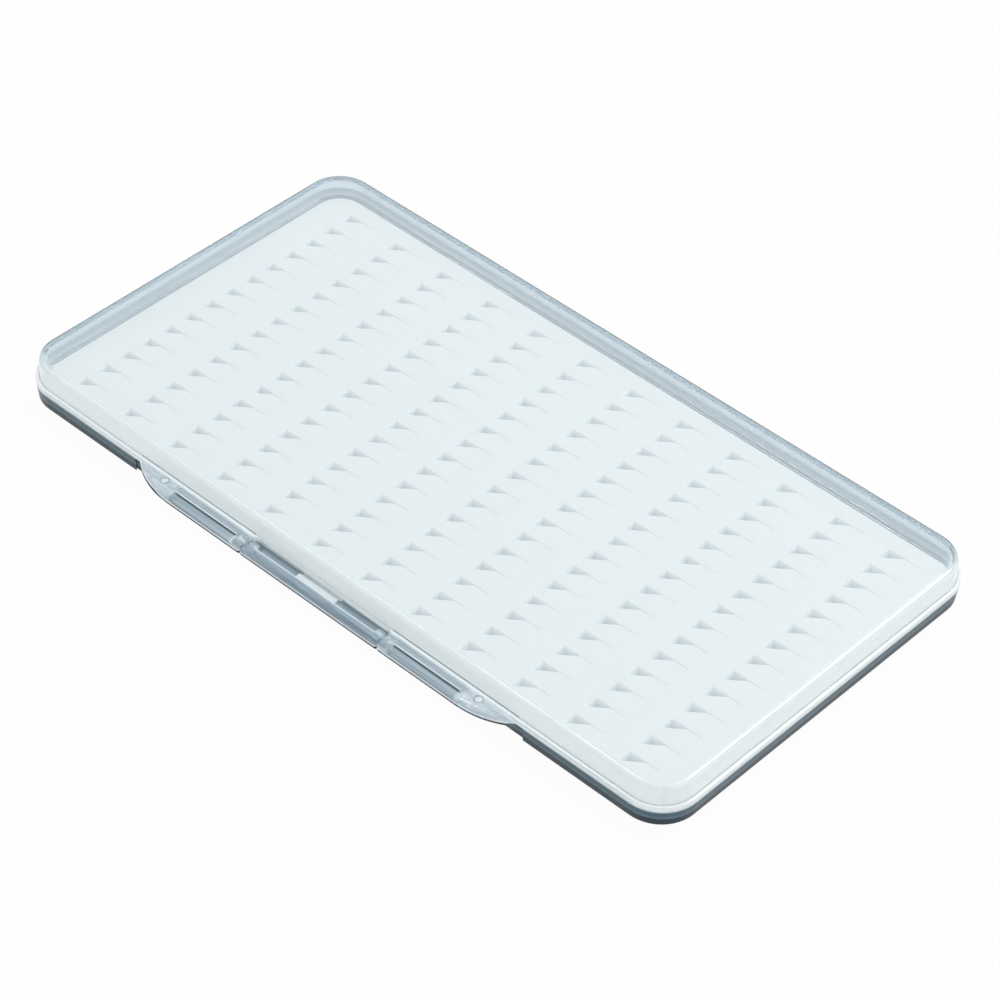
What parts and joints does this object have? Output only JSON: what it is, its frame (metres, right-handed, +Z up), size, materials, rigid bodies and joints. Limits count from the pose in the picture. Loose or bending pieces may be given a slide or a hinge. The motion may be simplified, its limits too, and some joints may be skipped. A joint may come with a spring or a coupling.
{
  "type": "slim hinged fly box",
  "caption": "Slim clear flat box with a hinged lid and a slit silicone insert that grips fishing flies by the hook.",
  "frame": {"origin": "centre of the tray's flat underside, below the middle of the round-cornered rim; the hinge lies outside it on the -Y side", "axes": "+X along the box's length, +Y across the box away from the hinge, +Z up through the lid"},
  "size_m": [0.188, 0.1035, 0.0102],
  "materials": {
    "clear_tray": "clear, glossy",
    "clear_lid": "clear, glossy",
    "silicone": "soft white silicone, matte"
  },
  "bodies": {
    "base": {"base_tray": "clear_tray", "slit_insert": "silicone"},
    "lid": {"lid": "clear_lid"}
  },
  "joints": [
    {"name": "lid_hinge", "type": "hinge", "parent": "base", "child": "lid", "pos_m": [0, -0.0525, 0.00375], "axis": [1, 0, 0], "range_deg": [0, 180]}
  ]
}
